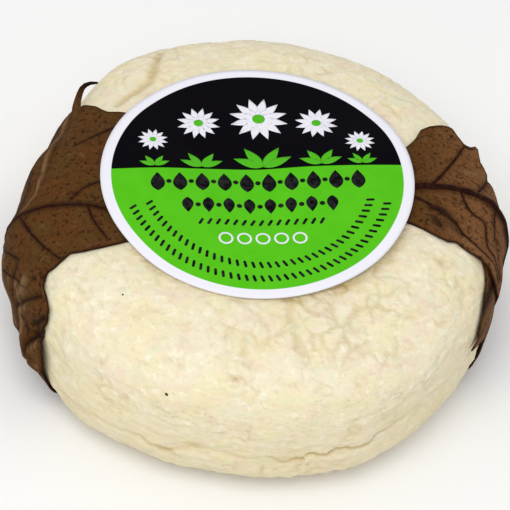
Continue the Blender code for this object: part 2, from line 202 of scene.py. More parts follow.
# The curled tooth behind the left shoulder: points in the row frame, and half widths
CURLED_TOOTH = (
    (-34.2, 14.4, 28, 1.25), (-34.4, 15.8, 28.5, 1), (-34.7, 17.3, 29.1, 0.7),
    (-34.65, 18.5, 29.55, 0.58), (-34.45, 19.9, 30.05, 0.48), (-34.15, 21, 30.45, 0.42),
    (-33.65, 21.7, 30.65, 0.34), (-32.8, 22.2, 30.8, 0.22), (-31.5, 22.5, 30.8, 0.08),
)
TOOTH_FACING = np.array([-0.3, -0.5, 0.81])
TOOTH_COLUMNS = 8
TOOTH_ROWS = 40

# Ribs: thickness at the start and at the end, then points by angle and place
LEAF_RIBS = (
    (0.34, 0.16, ((29, 5.2), (26.1, 10.2), (23.7, 14.4), (20.9, 19.2))),
    (0.3, 0.14, ((20.4, 6.9), (18.2, 9.9), (15, 14.6))),
    (0.34, 0.16, ((32.5, 1.6), (30.5, 0.9), (28.8, 0.3), (26.9, -1.2), (25.2, -1.8),
        (23.3, -4.4), (19.9, -6.4), (16.8, -7.6), (11.7, -8.6))),
    (0.3, 0.14, ((23.9, 5.2), (23.1, 2.6), (21.6, 0.8), (19, 0.5), (18.6, -2.4), (18.2, -4.9),
        (15.1, -6.6), (11.7, -7.8))),
    (0.28, 0.12, ((16.6, 5.6), (16.5, 3), (16.5, 0.4), (16, -1.8))),
    (0.08, 0.24, ((-206.4, -7.6), (-208.6, -4.6), (-210.5, -3.6), (-212.7, -2.8),
        (-216, -2.2))),
    (0.08, 0.3, ((-204.6, 5.4), (-206.5, 6.9), (-208.9, 8.7), (-212, 10.8), (-215, 12.2))),
    (0.2, 0.1, ((-209.6, -9.4), (-210.8, -12.3), (-212.1, -14.1), (-214, -16.4))),
    (0.26, 0.13, ((-196.2, -9.2), (-198.8, -13.6), (-201.4, -17.2), (-203.8, -19.7),
        (-205.2, -20.9))),
    (0.26, 0.13, ((-184, -7), (-188, -10.8), (-192.2, -14.7), (-194.5, -17))),
    (0.24, 0.12, ((-181, -9), (-187.1, -14.5), (-190.3, -18.4), (-193, -21.6))),
)
MIDRIB_START = 0.85
MIDRIB_END = 0.22
# First and last section angle of the midrib, and its points
MIDRIB_SPAN = (40.0, -226.0, 60)
# Distance between a rib's points, share of it under the face, and its gap to the edges
RIB_STEP = 0.7
RIB_SUNK = 0.5
RIB_INSET = 0.5
# Hidden ribs: where they start, and end at the front and at the back
HIDDEN_RIBS = (6.0, -158.0, -182.0)
RIB_SLANT = 0.62

# Label and the two printed fields, in the label's own turned axes
LABEL_CENTRE = np.array([-0.949, 1.021])
LABEL_RADIUS = 27.5
LABEL_COLUMNS = 240
LABEL_RINGS = 36
LABEL_SMOOTHING = 40
LABEL_PAPER = 0.2
LABEL_TURN = 8.7
FIELD_RADIUS = 25.6
FIELD_SPLIT = 2.1
INK_HEIGHT = 0.03
INK_THICKNESS = 0.02
LOZENGE_LENGTH = 4.4
FIELD_BLUR = 0.06
# Height from which rays fall on the label
RAY_START = 60.0
# Radius and number of dashes of each arc, and the arcs' span in degrees
DASH_ARCS = ((20.2, 38), (23.2, 44))
DASH_ARC_SPAN = (198.0, 342.0)
# Blossoms in the label's axes: place and size
BLOSSOMS = (
    (-17.9, 9.2, 0.62), (-9.6, 13.6, 0.88), (1.2, 14.6, 1.2), (11.4, 13.2, 0.88),
    (18.7, 8.2, 0.62),
)

# Studio: the camera stands where the photograph was taken from
CAMERA_ELEVATION = 47.8
CAMERA_ROLL = 6.5
CAMERA_DISTANCE = 538.0
CAMERA_TARGET_HEIGHT = 16.75
CAMERA_LENS = 212.6
CAMERA_SHIFT = (0.0033, -0.0106)
# Floor and lamp in metres, the floor's gap under the foot in mm
FLOOR_SIZE = 6.0
FLOOR_DROP = 0.02
LAMP_PLACE = (-0.1, -0.5, 0.88)
LAMP_AIM = (0.0, 0.0, 0.015)
LAMP_SIZE = 0.8


def linear(code):
    """Turn an sRGB hex colour into the linear red, green, blue and alpha of Blender."""
    shares = [int(code[place:place + 2], 16) / 255 for place in (1, 3, 5)]
    return tuple(
        share / 12.92 if share <= 0.04045 else ((share + 0.055) / 1.055) ** 2.4
        for share in shares
    ) + (1.0,)


def colour_property(name, description, code):
    """A colour that the user can change, from its sRGB hex code."""
    return FloatVectorProperty(
        name=name, description=description, subtype="COLOR", size=4, min=0.0, max=1.0,
        default=linear(code))


# Numbers and places

def smooth_step(low, high, value):
    """Rise smoothly from 0 at low to 1 at high."""
    share = np.clip((value - low) / (high - low), 0.0, 1.0)
    return share * share * (3.0 - 2.0 * share)


def bell(offset, spread):
    """One at no offset, falling smoothly to nothing."""
    return np.exp(-(offset / spread) ** 2)


def noise_at(points, size, shift=0.0):
    """Smooth noise from about -1 to 1, with lumps of a size; a shift gives other lumps."""
    return np.array([noise.noise(place) for place in (points / size + shift).tolist()])


def cell_walls(points, size):
    """How far each point is from the walls of a cell pattern, as a share of a cell."""
    nearest = [noise.voronoi(place)[0] for place in (points / size).tolist()]
    return np.array([near[1] - near[0] for near in nearest])


def line_lengths(line):
    """Distance from a line's first point to each of its points."""
    return np.concatenate([[0.0], np.cumsum(np.linalg.norm(np.diff(line, axis=0), axis=1))])


def read_line(lengths, line, wanted):
    """Read every column of a line of points at the wanted distances along it."""
    columns = [np.interp(wanted, lengths, column) for column in line.T]
    return np.stack(columns, axis=1)


def distance_to_line(points, line):
    """Distance of each point from the nearest part of a line of points."""
    nearest = np.full(len(points), np.inf)
    line = np.asarray(line, dtype=float)
    for start, end in zip(line, line[1:]):
        along = end - start
        share = np.clip((points - start) @ along / (along @ along), 0.0, 1.0)
        gap = np.linalg.norm(points - start - share[:, None] * along, axis=1)
        nearest = np.minimum(nearest, gap)
    return nearest


def table_at(table, angles):
    """Read a table of section angle and place at the given section angles."""
    rows = np.array(table)
    return np.interp(-angles, -rows[:, 0], rows[:, 1])


# Modelling, as by hand

def deselect_all():
    """Leave every object unselected."""
    bpy.ops.object.select_all(action="DESELECT")


def choose(thing):
    """Make one object the only selected and the active one."""
    deselect_all()
    thing.select_set(True)
    bpy.context.view_layer.objects.active = thing


def enter_edit(thing):
    """Edit one object's mesh with all of it selected."""
    choose(thing)
    bpy.ops.object.mode_set(mode="EDIT")
    bpy.ops.mesh.select_all(action="SELECT")


def leave_edit():
    """Return to object mode."""
    bpy.ops.object.mode_set(mode="OBJECT")


def add_object(name, data):
    """A new object in the scene, for a mesh, a curve, a lamp or a camera."""
    thing = bpy.data.objects.new(name, data)
    bpy.context.scene.collection.objects.link(thing)
    return thing


def turn_outward(thing):
    """Make all normals of a mesh point out of it."""
    enter_edit(thing)
    bpy.ops.mesh.normals_make_consistent(inside=False)
    leave_edit()


def apply_modifier(thing, kind, **settings):
    """Add a modifier with its settings and apply it."""
    choose(thing)
    modifier = thing.modifiers.new(kind.lower(), kind)
    for name, value in settings.items():
        setattr(modifier, name, value)
    bpy.ops.object.modifier_apply(modifier=modifier.name)


def places_of(thing):
    """Vertex places in millimetres."""
    flat = np.empty(len(thing.data.vertices) * 3)
    thing.data.vertices.foreach_get("co", flat)
    return flat.reshape(-1, 3) / MM


def normals_of(thing):
    """Vertex normals of a mesh."""
    flat = np.empty(len(thing.data.vertices) * 3)
    thing.data.vertex_normals.foreach_get("vector", flat)
    return flat.reshape(-1, 3)


def move_to(thing, places):
    """Move the vertices to places in millimetres."""
    thing.data.vertices.foreach_set("co", (places * MM).ravel())
    thing.data.update()


def set_attributes(thing, **fields):
    """Store numbers for each vertex, for the material to read."""
    for name, values in fields.items():
        attribute = thing.data.attributes.new(name, "FLOAT", "POINT")
        attribute.data.foreach_set("value", np.asarray(values, dtype=float))


def new_grid(columns, rows):
    """A flat grid, and its vertices' places from -1 to 1 along both sides."""
    deselect_all()
    bpy.ops.mesh.primitive_grid_add(x_subdivisions=columns, y_subdivisions=rows, size=2.0)
    sheet = bpy.context.object
    return sheet, places_of(sheet) * MM


def finish_piece(thing, name, material, nodes=()):
    """Name a piece, give it its material and tie it to the frame."""
    thing.name = name
    thing.data.name = name
    thing.data.materials.clear()
    thing.data.materials.append(material)
    thing.data.shade_smooth()
    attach(thing, "root")
    for node in nodes:
        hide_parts(node)
    deselect_all()


def node_guide(node, rounding):
    """A merged copy of a CAD node, rounded if wanted, to lay a new piece on."""
    guide = add_object(node + "_guide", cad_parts[node].data.copy())
    enter_edit(guide)
    bpy.ops.mesh.remove_doubles(threshold=MERGE_DISTANCE)
    bpy.ops.mesh.tris_convert_to_quads()
    leave_edit()
    if rounding:
        apply_modifier(guide, "SUBSURF", levels=rounding, render_levels=rounding)
    return guide


def tree_of(thing):
    """A search tree of an object's mesh, for rays."""
    return BVHTree.FromObject(thing, bpy.context.evaluated_depsgraph_get())


def remove_thing(thing):
    """Delete an object and its mesh."""
    mesh = thing.data
    bpy.data.objects.remove(thing, do_unlink=True)
    bpy.data.meshes.remove(mesh)


def guide_tree(node, rounding):
    """A search tree of a CAD node, rounded if wanted, for rays."""
    guide = node_guide(node, rounding)
    tree = tree_of(guide)
    remove_thing(guide)
    return tree


def cast(tree, starts, directions):
    """Where rays in millimetres meet a tree, with the normals there."""
    hits = np.empty_like(starts)
    normals = np.empty_like(starts)
    for index, (start, direction) in enumerate(zip(starts * MM, directions)):
        place, normal, _, _ = tree.ray_cast(Vector(start), Vector(direction))
        if place is None:
            raise RuntimeError(f"a ray from {np.round(start / MM, 2)} mm misses the guide")
        hits[index] = np.array(place) / MM
        normals[index] = normal
    return hits, normals


def height_below(tree, places):
    """Height at which a tree lies straight below or above each place."""
    starts = places.copy()
    starts[:, 2] = RAY_START
    hits, _ = cast(tree, starts, np.tile([0.0, 0.0, -1.0], (len(starts), 1)))
    return hits[:, 2]


# The cheese's section and the leaf's own measure along it

def section_rays(angles, across):
    """Rays outward in planes across the leaf, from the line through the middle."""
    turn = np.radians(angles)
    starts = np.zeros((len(turn), 3)) + CENTRE
    starts[:, 1] = across
    directions = np.stack([np.cos(turn), np.zeros(len(turn)), np.sin(turn)], axis=1)
    return starts, directions


def body_section(turn):
    """Radius and height over the middle of the smooth body, by angle in radians."""
    power = np.where(turn > 0.0, SHOULDER_POWER, FOOT_POWER)
    flat = np.abs(np.cos(turn) / BODY_RADIUS) ** power
    upright = np.abs(np.sin(turn) / BODY_HALF_HEIGHT) ** power
    reach = (flat + upright) ** (-1.0 / power)
    down = np.where(turn < 0.0, CENTRE[2] / np.maximum(-np.sin(turn), 1e-9), np.inf)
    reach = np.minimum(reach, down)
    return reach * np.cos(turn), reach * np.sin(turn)


def section_lengths(out, up):
    """Distance along a section from its first point to each of its points."""
    return np.concatenate([[0.0], np.cumsum(np.hypot(np.diff(out), np.diff(up)))])


def leaf_measure():
    """Section angles, and the distance from the leaf's right end at each of them."""
    angles = np.linspace(FRONT_EDGE[0][0], FRONT_EDGE[-1][0], MEASURE_STEPS)
    turn = np.radians(angles)
    out, up = body_section(np.arcsin(np.sin(turn)))
    out = np.where(np.cos(turn) < 0.0, -out, out)
    return angles, section_lengths(out, up)


MEASURE_ANGLES, MEASURE_DISTANCES = leaf_measure()
LEAF_LENGTH = MEASURE_DISTANCES[-1]


def leaf_distance(angles):
    """Distance along the leaf at each section angle."""
    return np.interp(-angles, -MEASURE_ANGLES, MEASURE_DISTANCES)


def leaf_angle(distance):
    """Section angle at each distance along the leaf."""
    return np.interp(distance, MEASURE_DISTANCES, MEASURE_ANGLES)


def flat_line(line):
    """A line of section angle and place as distance along the leaf and place, in mm."""
    rows = np.array(line)
    return np.stack([leaf_distance(rows[:, 0]), rows[:, 1]], axis=1)


def leaf_points(angles, across):
    """The laid-out leaf's own places in mm: along it, across it and no height."""
    return np.stack([leaf_distance(angles), across, np.zeros(len(across))], axis=1)


def between(angles, limits):
    """One between the inner limits of four falling angles, fading to the outer ones."""
    hidden, free, still_free, hidden_again = limits
    appears = smooth_step(-hidden, -free, -angles)
    return appears * (1.0 - smooth_step(-still_free, -hidden_again, -angles))


def leaf_teeth(angles, limits):
    """Regular teeth of a hidden edge, each pointing to the leaf's tip."""
    share = (leaf_distance(angles) / TOOTH_PITCH) % 1.0
    saw = smooth_step(0.0, 0.8, share) - smooth_step(0.8, 1.0, share) - 0.5
    return TOOTH_LENGTH * saw * between(angles, limits)


def leaf_edges(angles):
    """Places of the leaf's front and back edges, teeth included."""
    front = table_at(FRONT_EDGE, angles) - leaf_teeth(angles, TOOTHED_FRONT)
    return front, table_at(BACK_EDGE, angles) + leaf_teeth(angles, TOOTHED_BACK)


def leaf_cover(points, margin, fade):
    """One where the leaf lies on the cheese, fading to zero past its edges."""
    angles = np.degrees(np.arctan2(points[:, 2] - CENTRE[2], points[:, 0] - CENTRE[0]))
    angles = np.where(angles > 90.0, angles - 360.0, angles)
    front = table_at(FRONT_EDGE, angles)
    back = table_at(BACK_EDGE, angles)
    inside = np.minimum(points[:, 1] - front, back - points[:, 1])
    in_fold = (angles < LOWER_EDGE[0][0]) & (angles > LOWER_EDGE[-1][0])
    fold = np.minimum(points[:, 1] - table_at(LOWER_EDGE, angles), LOWER_BACK - points[:, 1])
    inside = np.where(in_fold, np.maximum(inside, fold), inside)
    return smooth_step(-margin - fade, -margin, inside)


def label_reach(points):
    """Distance of each point from the line through the label's middle."""
    return np.hypot(points[:, 0] - LABEL_CENTRE[0], points[:, 1] - LABEL_CENTRE[1])


def label_cover(points, margin, fade):
    """One under the label, fading to zero past its rim."""
    on_top = smooth_step(CENTRE[2], CENTRE[2] + 10.0, points[:, 2])
    return on_top * smooth_step(-margin - fade, -margin, LABEL_RADIUS - label_reach(points))


# Shader building

def add_node(tree, kind, inputs=None, links=None, **settings):
    """Add a shader node, set its properties and inputs, and link sockets to it."""
    node = tree.nodes.new(kind)
    for name, value in settings.items():
        setattr(node, name, value)
    for name, value in (inputs or {}).items():
        node.inputs[name].default_value = value
    for name, source in (links or {}).items():
        tree.links.new(source, node.inputs[name])
    return node


def new_material(name, **constants):
    """A material with its shader, its tree and the place it is read at."""
    material = bpy.data.materials.new(name)
    material.use_nodes = True
    tree = material.node_tree
    shader = tree.nodes["Principled BSDF"]
    for socket, value in constants.items():
        shader.inputs[socket.replace("_", " ")].default_value = value
    place = add_node(tree, "ShaderNodeTexCoord").outputs["Object"]
    return material, tree, shader, place


def spread_noise(tree, place, size, detail=2.0, roughness=0.5, stretch=EVEN):
    """Noise with patches of a size in millimetres, from 0 to 1 about one half."""
    mapped = add_node(tree, "ShaderNodeMapping", {"Scale": stretch}, {"Vector": place})
    texture = add_node(
        tree, "ShaderNodeTexNoise",
        {"Scale": 1.0 / (size * MM), "Detail": detail, "Roughness": roughness},
        {"Vector": mapped.outputs["Vector"]})
    return texture.outputs["Fac"]


def ramp(tree, source, low, high):
    """Stretch a value so that low gives 0 and high gives 1."""
    return add_node(
        tree, "ShaderNodeMapRange", {"From Min": low, "From Max": high}, {"Value": source},
        interpolation_type="SMOOTHSTEP").outputs["Result"]


def blend_colours(tree, share, first, second):
    """Mix two colours, each a constant or a socket, by a share from a socket."""
    inputs = {}
    links = {0: share}
    for slot, colour in ((6, first), (7, second)):
        if isinstance(colour, bpy.types.NodeSocket):
            links[slot] = colour
        else:
            inputs[slot] = colour
    return add_node(tree, "ShaderNodeMix", inputs, links, data_type="RGBA").outputs[2]


def scaled(tree, source, factor):
    """Multiply a value by a constant."""
    return add_node(
        tree, "ShaderNodeMath", {1: factor}, {0: source}, operation="MULTIPLY").outputs[0]


def attribute_of(tree, name):
    """The value of a vertex attribute."""
    return add_node(tree, "ShaderNodeAttribute", attribute_name=name).outputs["Fac"]


def lay_patches(tree, place, colour, patches):
    """Lay cloudy patches over a colour, one after the other.

    Each has the size in mm, detail, roughness and stretch of its noise, the values at which
    it starts and is full, its strength and its tint.
    """
    for size, detail, roughness, stretch, start, full, strength, tint in patches:
        cloud = spread_noise(tree, place, size, detail, roughness, stretch)
        share = ramp(tree, cloud, start, full)
        if strength < 1.0:
            share = scaled(tree, share, strength)
        colour = blend_colours(tree, share, colour, tint)
    return colour


def lay_attributes(tree, colour, tints):
    """Lay tints over a colour where the vertex attributes of their names say so."""
    for name, tint in tints:
        colour = blend_colours(tree, attribute_of(tree, name), colour, tint)
    return colour


def finish_shader(tree, shader, place, colour, bumps=()):
    """Give a shader its colour and its bumps, each a height in mm and its noise's values."""
    tree.links.new(colour, shader.inputs["Base Color"])
    normal = None
    for height, *values in bumps:
        links = {"Height": spread_noise(tree, place, *values)}
        if normal is not None:
            links["Normal"] = normal
        bump = add_node(tree, "ShaderNodeBump", {"Strength": 1.0, "Distance": height * MM}, links)
        normal = bump.outputs["Normal"]
    if normal is not None:
        tree.links.new(normal, shader.inputs["Normal"])


def soft_rind_material(settings):
    """Soft moulded curd with a thin natural rind: pale, slightly moist and cloudy.

    Broad creamy, pink and green tints, painted tan shade in the creases and hollows, painted
    shadow beside the label, painted shade towards the foot, a faint shine and light that goes a
    little way in, so that the edges look soft.
    """
    material, tree, shader, place = new_material(
        "soft_goat_cheese_rind", Roughness=0.55, IOR=1.4, Subsurface_Weight=0.15,
        Subsurface_Scale=1.2 * MM, Specular_IOR_Level=0.35,
        Subsurface_Radius=(1.0, 0.62, 0.36))
    colour = lay_patches(tree, place, settings.rind_colour, (
        (7.0, 3.0, 0.6, EVEN, 0.38, 0.62, 1.0, settings.cream_colour),
        (3.6, 3.0, 0.6, (1.0, 1.0, 1.5), 0.5, 0.68, 0.8, settings.blush_colour),
        (3.0, 3.0, 0.6, (1.2, 1.0, 1.3), 0.53, 0.7, 0.8, settings.green_colour),
        (1.7, 3.0, 0.6, EVEN, 0.53, 0.7, 0.6, settings.chalk_colour),
        (1.0, 3.0, 0.65, (0.8, 0.8, 1.4), 0.47, 0.3, 0.4, settings.grain_colour),
    ))
    axes = add_node(tree, "ShaderNodeSeparateXYZ", None, {"Vector": place})
    # Painted shade: the rind turns darker and warmer towards the foot
    low = ramp(tree, axes.outputs["Z"], *(height * MM for height in FOOT_SHADE_HEIGHTS))
    colour = blend_colours(tree, scaled(tree, low, 0.34), colour, settings.foot_shade_colour)
    # Painted shade in the creases and hollows, and painted shadow beside the label's rim, read
    # from the rind's attribute
    colour = lay_attributes(tree, colour, (("hollow", settings.painted_shade_colour),))
    for x, y, z, radius in SPECKS:
        away = add_node(
            tree, "ShaderNodeVectorMath", {1: (x * MM, y * MM, z * MM)}, {0: place},
            operation="DISTANCE").outputs["Value"]
        spot = ramp(tree, away, radius * MM, 0.6 * radius * MM)
        colour = blend_colours(tree, spot, colour, linear("#2A1F12"))
    gloss = add_node(
        tree, "ShaderNodeMapRange", {"To Min": 0.48, "To Max": 0.66},
        {"Value": spread_noise(tree, place, 4.0, 2.0)})
    tree.links.new(gloss.outputs["Result"], shader.inputs["Roughness"])
    finish_shader(tree, shader, place, colour, (
        (0.28, 1.5, 3.0, 0.6, (0.75, 0.75, 1.4)), (0.07, 0.6, 3.0, 0.6)))
    return material


def dry_leaf_material(settings):
    """Dried chestnut leaf: thin, brittle and dull, brown with darker flecks.

    Olive and red-brown tints, dark specks and dark edges, painted highlight with rubbed wear on
    raised folds, and painted shade in sunk folds, gaps and strips turned away from the light.
    """
    material, tree, shader, place = new_material(
        "dried_chestnut_leaf", Roughness=0.75, IOR=1.4, Specular_IOR_Level=0.07)
    colour = lay_patches(tree, place, settings.leaf_colour, (
        (5.0, 3.0, 0.6, EVEN, 0.42, 0.6, 1.0, settings.olive_colour),
        (3.6, 3.0, 0.6, (1.0, 1.2, 1.0), 0.5, 0.66, 0.5, settings.red_colour),
    ))
    russet = scaled(tree, attribute_of(tree, "russet"), 0.85)
    colour = blend_colours(tree, russet, colour, settings.russet_colour)
    colour = lay_patches(tree, place, colour, (
        (1.9, 4.0, 0.65, EVEN, 0.53, 0.72, 0.6, settings.pale_colour),
        (1.3, 4.0, 0.65, EVEN, 0.52, 0.68, 0.75, settings.dark_colour),
        (0.45, 2.0, 0.6, EVEN, 0.4, 0.65, 0.35, settings.dark_colour),
        (0.85, 2.0, 0.5, EVEN, 0.58, 0.67, 0.7, linear("#241307")),
    ))
    # Dark ribs and edges, painted highlight with rubbed wear on raised folds, and painted shade
    # in sunk folds, gaps and strips turned away from the light
    colour = lay_attributes(tree, colour, (
        ("vein", settings.rib_colour), ("worn", settings.worn_colour),
        ("shade", linear("#180A05"))))
    finish_shader(tree, shader, place, colour, ((0.3, 1.9, 3.0, 0.6), (0.08, 0.6, 3.0, 0.6)))
    return material


def leaf_rib_material(settings):
    """The leaf's dried ribs: woody, dark red-brown and slightly polished by handling."""
    material, tree, shader, place = new_material(
        "dried_leaf_rib", Roughness=0.7, IOR=1.4, Specular_IOR_Level=0.08)
    colour = lay_patches(tree, place, settings.rib_colour, (
        (1.1, 3.0, 0.6, EVEN, 0.45, 0.7, 1.0, linear("#351810")),))
    finish_shader(tree, shader, place, colour, ((0.03, 0.4, 2.0),))
    return material


def coated_label_material(settings):
    """Coated label paper with two flat printed fields inside a bare white rim.

    The coating is smooth with a faint cockle from the moist cheese.
    """
    material, tree, shader, place = new_material(
        "coated_label_paper", Roughness=0.45, IOR=1.45, Specular_IOR_Level=0.04)
    x, y = LABEL_CENTRE * MM
    turned = place
    for name, value in (
            ("Location", (-x, -y, 0.0)), ("Rotation", (0.0, 0.0, -math.radians(LABEL_TURN)))):
        turned = add_node(
            tree, "ShaderNodeMapping", {name: value}, {"Vector": turned}).outputs["Vector"]
    axes = add_node(tree, "ShaderNodeSeparateXYZ", None, {"Vector": turned}).outputs
    flat = add_node(tree, "ShaderNodeCombineXYZ", None, {"X": axes["X"], "Y": axes["Y"]})
    reach = add_node(
        tree, "ShaderNodeVectorMath", None, {0: flat.outputs["Vector"]},
        operation="LENGTH").outputs["Value"]
    split, rim, blur = FIELD_SPLIT * MM, FIELD_RADIUS * MM, FIELD_BLUR * MM
    upper = ramp(tree, axes["Y"], split - blur, split + blur)
    inside = ramp(tree, reach, rim + blur, rim - blur)
    cloud = spread_noise(tree, place, 3.0, 3.0)
    green = blend_colours(tree, cloud, settings.green_ink, settings.green_ink_light)
    field = blend_colours(tree, upper, green, settings.black_ink)
    colour = blend_colours(tree, inside, settings.paper_colour, field)
    finish_shader(tree, shader, place, colour, ((0.12, 9.0, 2.0), (0.006, 0.5, 2.0)))
    return material


def ink_material(name, colour):
    """Offset ink on coated paper: one flat colour, slightly uneven and softly glossy."""
    material, tree, shader, place = new_material(
        name, Roughness=0.45, IOR=1.45, Specular_IOR_Level=0.04)
    tint = lay_patches(tree, place, colour, (
        (0.9, 3.0, 0.5, EVEN, 0.3, 0.7, 0.08, linear("#808080")),))
    finish_shader(tree, shader, place, tint, ((0.006, 0.5, 2.0),))
    return material


def floor_material(settings):
    """Matt white photo paper, faintly uneven."""
    material, tree, shader, place = new_material("white_photo_paper", Roughness=0.9, IOR=1.45)
    share = scaled(tree, spread_noise(tree, place, 60.0, 2.0), 0.3)
    colour = blend_colours(tree, share, settings.floor_colour, linear("#F0F0F0"))
    finish_shader(tree, shader, place, colour)
    return material


# Rind

def spread_rings(rind):
    """Move a unit sphere's rings on to the cheese's section, close where they show."""
    out, up = body_section(np.linspace(math.pi / 2, -math.pi / 2, SECTION_STEPS))
    along = section_lengths(out, up)
    foot_edge = along[np.argmax(up <= -CENTRE[2] + 1e-6)]
    places = places_of(rind) * MM
    ring = np.arccos(np.clip(places[:, 2], -1.0, 1.0)) / math.pi * RIND_RINGS
    wanted = np.interp(
        ring, (0, HIDDEN_TOP[1], FOOT_RING, RIND_RINGS),
        (0.0, HIDDEN_TOP[0], foot_edge, along[-1]))
    radius = np.interp(wanted, along, out)
    height = np.interp(wanted, along, up)
    flat = np.hypot(places[:, 0], places[:, 1])
    unit = places[:, :2] / np.maximum(flat, 1e-9)[:, None]
    unit[flat < 1e-6] = 0.0
    spread = np.empty_like(places)
    spread[:, :2] = unit * radius[:, None] + CENTRE[:2]
    spread[:, 2] = height + CENTRE[2]
    move_to(rind, spread)


def warp_of(points, size, shifts):
    """Noise in three directions, to bend other patterns with."""
    return np.stack([noise_at(points, size, shift) for shift in shifts], axis=1)


def crease_relief(points, azimuth):
    """The crease above the foot from 0 to 1, and the nodules on the lip under it in mm."""
    path = np.array(CREASE_PATH)
    height = np.interp(azimuth, path[:, 0], path[:, 1])
    height += 0.7 * noise_at(points * (1.0, 1.0, 0.0), 1.7, 19.0)
    strength = np.interp(azimuth, path[:, 0], path[:, 2])
    below = height - points[:, 2]
    lip = smooth_step(-0.2, 1.0, below) * smooth_step(0.5, 3.0, points[:, 2])
    nodules = 0.42 * noise_at(points * (1.0, 1.0, 0.8), 1.9, 21.0)
    return bell(below, 0.36) * strength, nodules * lip * (0.35 + 0.65 * strength)


def small_hollows(points, azimuth, warp):
    """How deep each place lies in one of the small hollows, from 0 to 1, for their depth and
    their painted shade.
    """
    from_axis = np.hypot(points[:, 0] - CENTRE[0], points[:, 1] - CENTRE[1])
    spots = np.zeros(len(points))
    for angle, up, half_length, half_height, share in HOLLOWS:
        aside = (azimuth - angle) * math.radians(1.0) * from_axis
        reach = np.hypot(aside / half_length, (points[:, 2] - up) / half_height)
        spots = np.maximum(spots, share * bell(reach + 0.25 * warp[:, 0], 1.0))
    return spots


def rind_relief(points):
    """Fine height of the rind in mm, and its painted shade from 0 to 1 in creases and hollows and
    beside the label.
    """
    azimuth = np.degrees(np.arctan2(points[:, 1] - CENTRE[1], points[:, 0] - CENTRE[0]))
    lying = points * (0.62, 0.62, 1.25)
    warp = warp_of(points, 3.4, (11.0, 23.0, 37.0))
    fine_warp = warp_of(points, 1.7, (41.0, 43.0, 47.0))
    wandering = lying + warp * 1.1 + fine_warp * 0.4
    height = 0.24 * noise_at(lying, 2.6, 3.0) + 0.15 * noise_at(wandering, 1.45, 7.0)
    height += 0.06 * noise_at(points, 0.85, 9.0)
    wrinkle = bell(noise_at(wandering, 2.4, 5.0), 0.085)
    wrinkle *= smooth_step(-0.1, 0.4, noise_at(points, 6.0, 13.0))
    crinkle = bell(noise_at(wandering, 1.35, 6.0), 0.13)
    crinkle *= smooth_step(-0.2, 0.4, noise_at(points, 4.0, 15.0))
    top = smooth_step(26.0, 30.5, points[:, 2])
    walls = cell_walls(points + warp * 1.5 + fine_warp * 0.5, 3.6)
    net = bell(walls, 0.13) * top * bell(azimuth - NET_AZIMUTH, 34.0)
    net *= smooth_step(-0.35, 0.25, noise_at(points, 5.0, 18.0))
    crease, nodules = crease_relief(points, azimuth)
    back = bell(distance_to_line(points, BACK_CREASE), 0.9)
    spots = small_hollows(points, azimuth, warp)
    height += nodules - 0.20 * wrinkle - 0.11 * crinkle - 0.2 * net
    height -= 0.42 * crease + 0.5 * back + 0.28 * spots
    # Painted shade, darkest in the wrinkles, the net, the creases and the small hollows
    hollow = 0.26 * wrinkle + 0.14 * crinkle + 0.42 * net
    hollow += 0.85 * crease + 0.6 * back + 0.7 * spots
    # Painted shadow of the label's rim on the rind beside it
    label_shadow = bell(label_reach(points) - LABEL_RADIUS, 1.5) * top
    label_shadow *= 0.25 + 0.75 * bell(azimuth - LABEL_SHADOW_AZIMUTH, 34.0)
    hollow += label_shadow * (0.45 + 0.35 * noise_at(points, 1.6, 25.0))
    return height, np.clip(hollow, 0.0, 1.0)


def build_rind(settings):
    """The cheese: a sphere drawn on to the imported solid, then given its fine relief."""
    guide = node_guide("cheese", GUIDE_ROUNDING)
    deselect_all()
    bpy.ops.mesh.primitive_uv_sphere_add(
        segments=RIND_COLUMNS, ring_count=RIND_RINGS, radius=1.0)
    rind = bpy.context.object
    spread_rings(rind)
    apply_modifier(rind, "SHRINKWRAP", target=guide, wrap_method="NEAREST_SURFACEPOINT")
    remove_thing(guide)
    points = places_of(rind)
    height, hollow = rind_relief(points)
    covered = np.maximum(leaf_cover(points, 0.1, 1.2), label_cover(points, -1.6, 1.4))
    bare = (1.0 - covered) * smooth_step(0.2, 2.0, points[:, 2])
    moved = points + normals_of(rind) * (height * bare * settings.relief)[:, None]
    moved[:, 2] = np.maximum(moved[:, 2], 0.0)
    move_to(rind, moved)
    set_attributes(rind, hollow=hollow * bare)
    finish_piece(rind, "cheese_rind", soft_rind_material(settings), ["cheese"])


# Leaf

